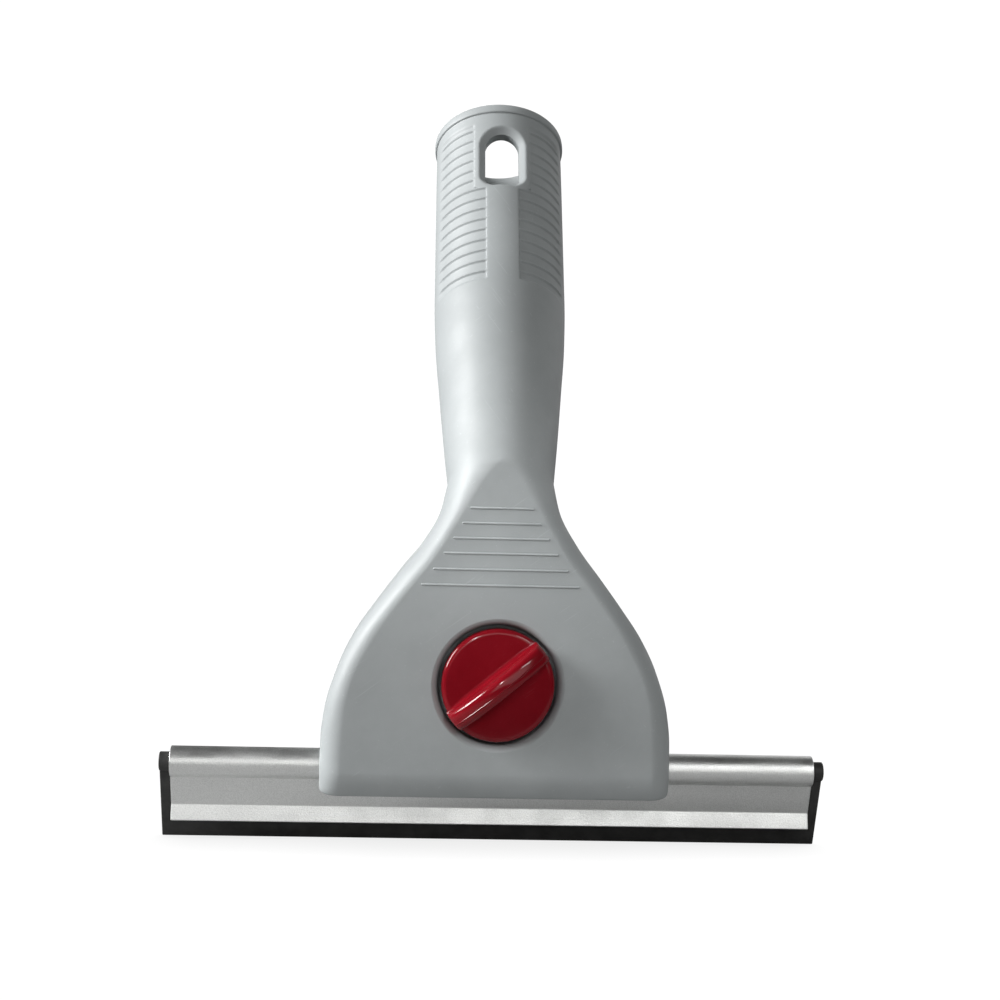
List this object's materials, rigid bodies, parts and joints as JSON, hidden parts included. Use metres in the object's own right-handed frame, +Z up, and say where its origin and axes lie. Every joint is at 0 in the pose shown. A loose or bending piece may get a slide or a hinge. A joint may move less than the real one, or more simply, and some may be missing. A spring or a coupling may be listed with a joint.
{
  "type": "window squeegee",
  "caption": "Hand window squeegee: hollow grey grip leaning back from a flat fan-shaped head, red clamp knob, aluminium channel and black rubber blade.",
  "frame": {"origin": "where a nail bears under the top of the grip's front hang slot, in the middle of the wall", "axes": "+X along the blade to the right seen from the knob's side, +Y away from the viewer, square to the head's flat face, +Z up towards the grip's mouth"},
  "size_m": [0.15, 0.0802, 0.1753],
  "materials": {
    "grey_plastic": "satin, finely textured moulding",
    "jaw_plastic": "satin moulding",
    "red_plastic": "polished deep red",
    "aluminium": "satin, fine grain",
    "black_rubber": "smooth matt",
    "steel": "zinc plated"
  },
  "bodies": {
    "handle_body": {"handle": "grey_plastic"},
    "knob_body": {"knob": "red_plastic", "clamp_bolt": "steel", "thrust_washer": "steel", "retaining_ring": "steel"},
    "jaw_body": {"rear_jaw": "jaw_plastic", "jaw_nut": "steel"},
    "bar_body": {"channel": "aluminium"},
    "rubber_body": {"rubber_blade": "black_rubber"}
  },
  "joints": [
    {"name": "knob_turn", "type": "hinge", "parent": "handle_body", "child": "knob_body", "pos_m": [0, -0.04354, -0.12902], "axis": [0, -1, 0], "range_deg": [0, 1440]},
    {"name": "jaw_slide", "type": "slide", "parent": "handle_body", "child": "jaw_body", "axis": [0, 1, 0], "range_m": [0, 0.004]},
    {"name": "bar_slide", "type": "slide", "parent": "handle_body", "child": "bar_body", "axis": [1, 0, 0], "range_m": [-0.112, 0.112]},
    {"name": "blade_slide", "type": "slide", "parent": "bar_body", "child": "rubber_body", "axis": [1, 0, 0], "range_m": [-0.15, 0.15]}
  ],
  "couplings": [
    {"joint": "knob_turn", "follows": "jaw_slide", "rad_per_m": 6283.1}
  ]
}
